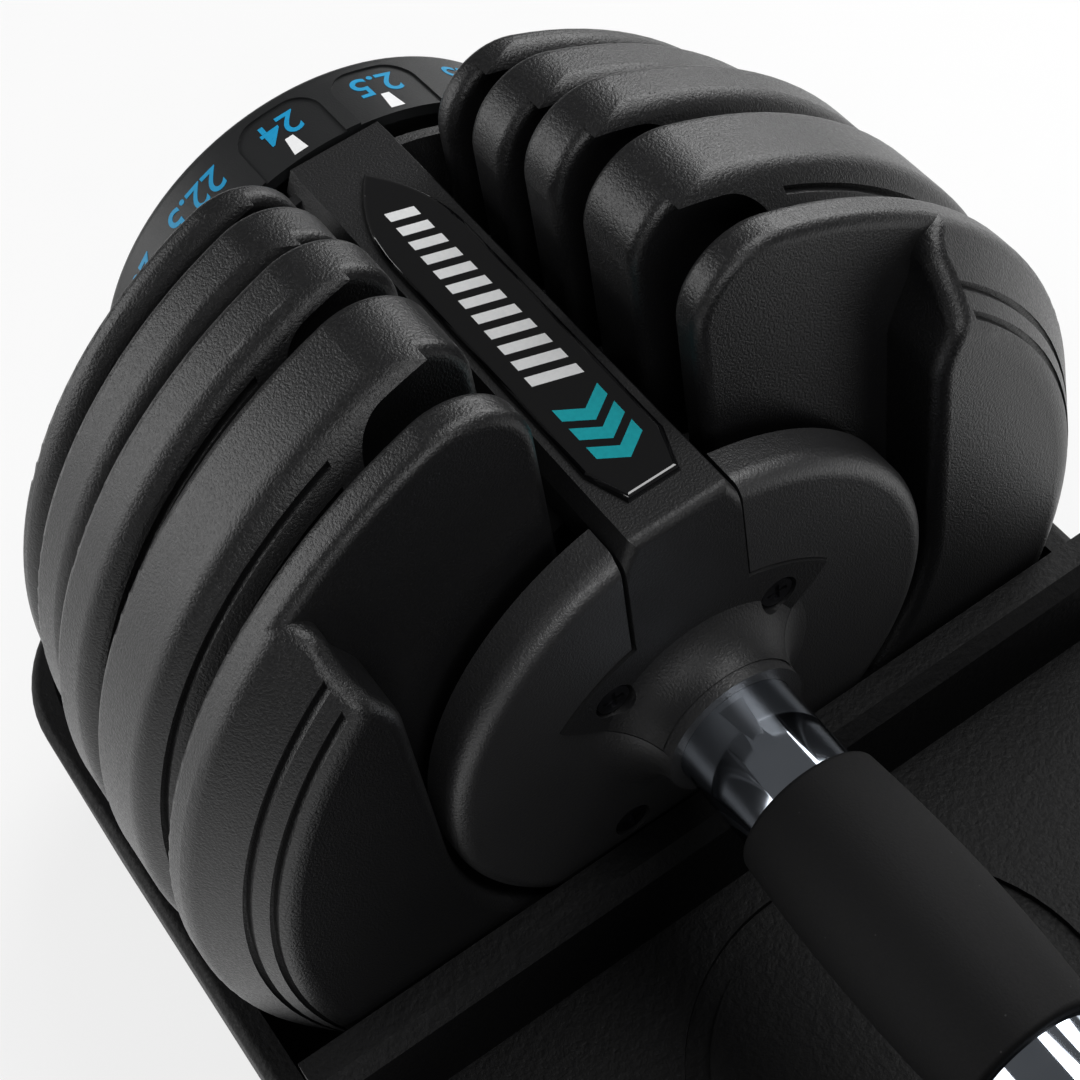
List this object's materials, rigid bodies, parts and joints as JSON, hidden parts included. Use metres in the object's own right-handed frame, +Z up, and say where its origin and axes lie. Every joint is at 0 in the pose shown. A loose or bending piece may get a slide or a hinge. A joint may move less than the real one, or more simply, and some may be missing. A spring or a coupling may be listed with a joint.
{
  "type": "adjustable dumbbell",
  "caption": "Adjustable dumbbell in its black tray: rubber grip, a stack of U-shaped plates at each end and turning dials with blue numbers.",
  "frame": {"origin": "on the surface the tray stands on, under the middle of the handle", "axes": "+X along the handle, +Y across it, +Z up"},
  "size_m": [0.412, 0.21, 0.2071],
  "materials": {
    "tray_plastic": "fine leather grain, black",
    "foot_rubber": "matte",
    "chromed_tube": "mirror",
    "rod_steel": "turned steel",
    "grip_rubber": "matte, fine specks",
    "moulded_black": "fine grain, black",
    "label_gloss": "high gloss, domed",
    "screw_steel": "black oxide",
    "selector_plastic": "smooth, dark",
    "dial_plastic": "satin, black, with blue numbers",
    "plate_coating": "sand-grain black coat over iron"
  },
  "bodies": {
    "tray": {"base_tray": "tray_plastic", "tray_feet": "foot_rubber"},
    "handle": {"handle_tube": "chromed_tube", "axle_rod": "rod_steel", "grip_sleeve": "grip_rubber", "inner_disc_left": "moulded_black", "bridge_left": "moulded_black", "bridge_label_left": "label_gloss", "disc_screws_left": "screw_steel", "dial_carrier_left": "moulded_black", "axle_nut_left": "rod_steel", "axle_washer_left": "rod_steel", "lock_spring_left": "rod_steel", "inner_disc_right": "moulded_black", "bridge_right": "moulded_black", "bridge_label_right": "label_gloss", "disc_screws_right": "screw_steel", "dial_carrier_right": "moulded_black", "axle_nut_right": "rod_steel", "axle_washer_right": "rod_steel", "lock_spring_right": "rod_steel"},
    "dial_left": {"selector_sleeve_left": "selector_plastic", "index_wheel_left": "rod_steel", "dial_left": "dial_plastic", "dial_cap_left": "dial_plastic", "dial_screws_left": "screw_steel", "selector_disc_1_left": "selector_plastic", "selector_disc_2_left": "selector_plastic", "selector_disc_3_left": "selector_plastic", "selector_disc_4_left": "selector_plastic", "selector_disc_5_left": "selector_plastic"},
    "lock_left": {"lock_slider_left": "rod_steel"},
    "plate_1_left": {"plate_1_left": "plate_coating"},
    "plate_2_left": {"plate_2_left": "plate_coating"},
    "plate_3_left": {"plate_3_left": "plate_coating"},
    "plate_4_left": {"plate_4_left": "plate_coating"},
    "plate_5_left": {"plate_5_left": "plate_coating"},
    "dial_right": {"selector_sleeve_right": "selector_plastic", "index_wheel_right": "rod_steel", "dial_right": "dial_plastic", "dial_cap_right": "dial_plastic", "dial_screws_right": "screw_steel", "selector_disc_1_right": "selector_plastic", "selector_disc_2_right": "selector_plastic", "selector_disc_3_right": "selector_plastic", "selector_disc_4_right": "selector_plastic", "selector_disc_5_right": "selector_plastic"},
    "lock_right": {"lock_slider_right": "rod_steel"},
    "plate_1_right": {"plate_1_right": "plate_coating"},
    "plate_2_right": {"plate_2_right": "plate_coating"},
    "plate_3_right": {"plate_3_right": "plate_coating"},
    "plate_4_right": {"plate_4_right": "plate_coating"},
    "plate_5_right": {"plate_5_right": "plate_coating"}
  },
  "joints": [
    {"name": "handle_lift", "type": "slide", "parent": "tray", "child": "handle", "axis": [0, 0, 1], "range_m": [0, 0.25]},
    {"name": "dial_left_turn", "type": "hinge", "parent": "handle", "child": "dial_left", "pos_m": [0, 0, 0.118], "axis": [1, 0, 0], "continuous": true},
    {"name": "lock_left_drop", "type": "slide", "parent": "handle", "child": "lock_left", "axis": [0, 0, 1], "range_m": [-0.004, 0], "deforming": ["lock_spring_left"]},
    {"name": "plate_1_left_lift", "type": "slide", "parent": "tray", "child": "plate_1_left", "axis": [0, 0, 1], "range_m": [0, 0.25]},
    {"name": "plate_2_left_lift", "type": "slide", "parent": "tray", "child": "plate_2_left", "axis": [0, 0, 1], "range_m": [0, 0.25]},
    {"name": "plate_3_left_lift", "type": "slide", "parent": "tray", "child": "plate_3_left", "axis": [0, 0, 1], "range_m": [0, 0.25]},
    {"name": "plate_4_left_lift", "type": "slide", "parent": "tray", "child": "plate_4_left", "axis": [0, 0, 1], "range_m": [0, 0.25]},
    {"name": "plate_5_left_lift", "type": "slide", "parent": "tray", "child": "plate_5_left", "axis": [0, 0, 1], "range_m": [0, 0.25]},
    {"name": "dial_right_turn", "type": "hinge", "parent": "handle", "child": "dial_right", "pos_m": [0, 0, 0.118], "axis": [1, 0, 0], "continuous": true},
    {"name": "lock_right_drop", "type": "slide", "parent": "handle", "child": "lock_right", "axis": [0, 0, 1], "range_m": [-0.004, 0], "deforming": ["lock_spring_right"]},
    {"name": "plate_1_right_lift", "type": "slide", "parent": "tray", "child": "plate_1_right", "axis": [0, 0, 1], "range_m": [0, 0.25]},
    {"name": "plate_2_right_lift", "type": "slide", "parent": "tray", "child": "plate_2_right", "axis": [0, 0, 1], "range_m": [0, 0.25]},
    {"name": "plate_3_right_lift", "type": "slide", "parent": "tray", "child": "plate_3_right", "axis": [0, 0, 1], "range_m": [0, 0.25]},
    {"name": "plate_4_right_lift", "type": "slide", "parent": "tray", "child": "plate_4_right", "axis": [0, 0, 1], "range_m": [0, 0.25]},
    {"name": "plate_5_right_lift", "type": "slide", "parent": "tray", "child": "plate_5_right", "axis": [0, 0, 1], "range_m": [0, 0.25]}
  ],
  "couplings": [
    {"joint": "lock_left_drop", "follows": "handle_lift", "ratio": -0.016},
    {"joint": "plate_1_left_lift", "follows": "handle_lift", "ratio": 1},
    {"joint": "plate_2_left_lift", "follows": "handle_lift", "ratio": 1},
    {"joint": "plate_3_left_lift", "follows": "handle_lift", "ratio": 1},
    {"joint": "plate_4_left_lift", "follows": "handle_lift", "ratio": 1},
    {"joint": "plate_5_left_lift", "follows": "handle_lift", "ratio": 1},
    {"joint": "lock_right_drop", "follows": "handle_lift", "ratio": -0.016},
    {"joint": "plate_1_right_lift", "follows": "handle_lift", "ratio": 1},
    {"joint": "plate_2_right_lift", "follows": "handle_lift", "ratio": 1},
    {"joint": "plate_3_right_lift", "follows": "handle_lift", "ratio": 1},
    {"joint": "plate_4_right_lift", "follows": "handle_lift", "ratio": 1},
    {"joint": "plate_5_right_lift", "follows": "handle_lift", "ratio": 1}
  ]
}
